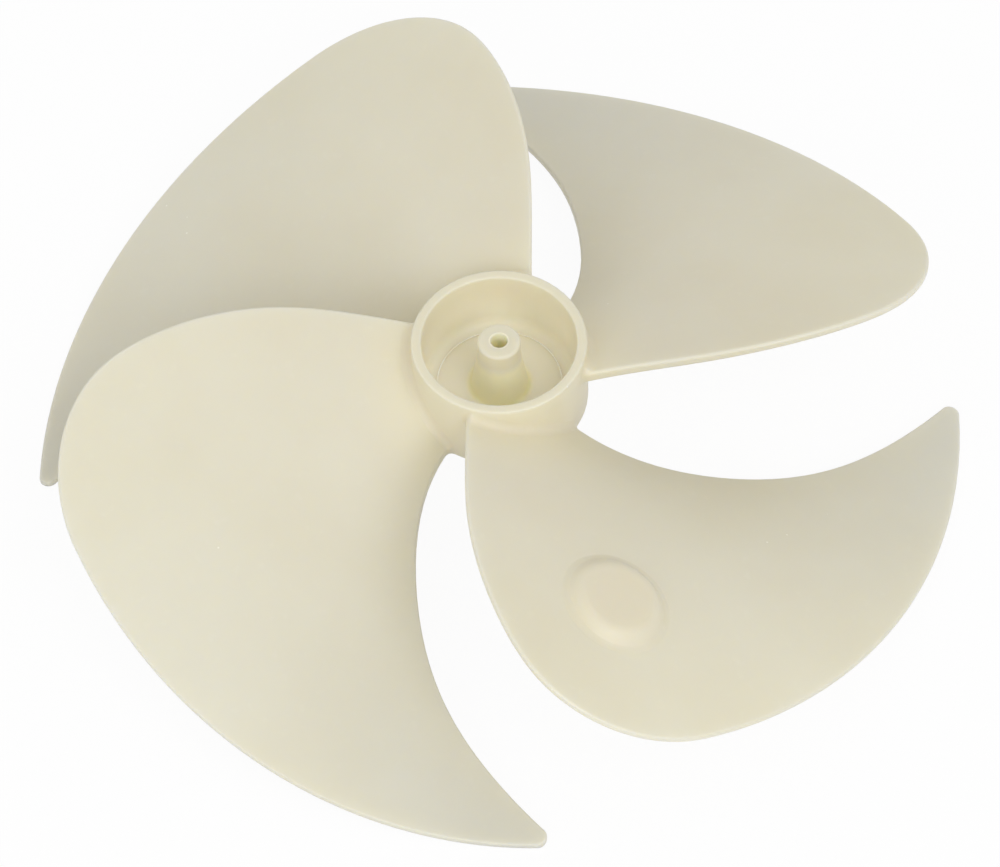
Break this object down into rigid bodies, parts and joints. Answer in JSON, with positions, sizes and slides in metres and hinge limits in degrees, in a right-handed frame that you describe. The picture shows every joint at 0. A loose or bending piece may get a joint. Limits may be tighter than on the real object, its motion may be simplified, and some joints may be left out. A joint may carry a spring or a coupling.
{
  "type": "axial fan impeller",
  "caption": "Small axial fan impeller: a cup-shaped hub with a bored shaft boss, swept and twisted blades, and a round balance pad on one blade.",
  "frame": {"origin": "on the rotation axis at the mouth of the shaft bore, level with the hub's rim", "axes": "+Z along the rotation axis, out of the open side of the hub; +X along the leading side of one blade"},
  "size_m": [0.1744, 0.1744, 0.0396],
  "materials": {
    "natural_plastic": "natural ivory moulded plastic, satin, slightly translucent"
  },
  "bodies": {
    "root": {"impeller": "natural_plastic"}
  },
  "joints": []
}
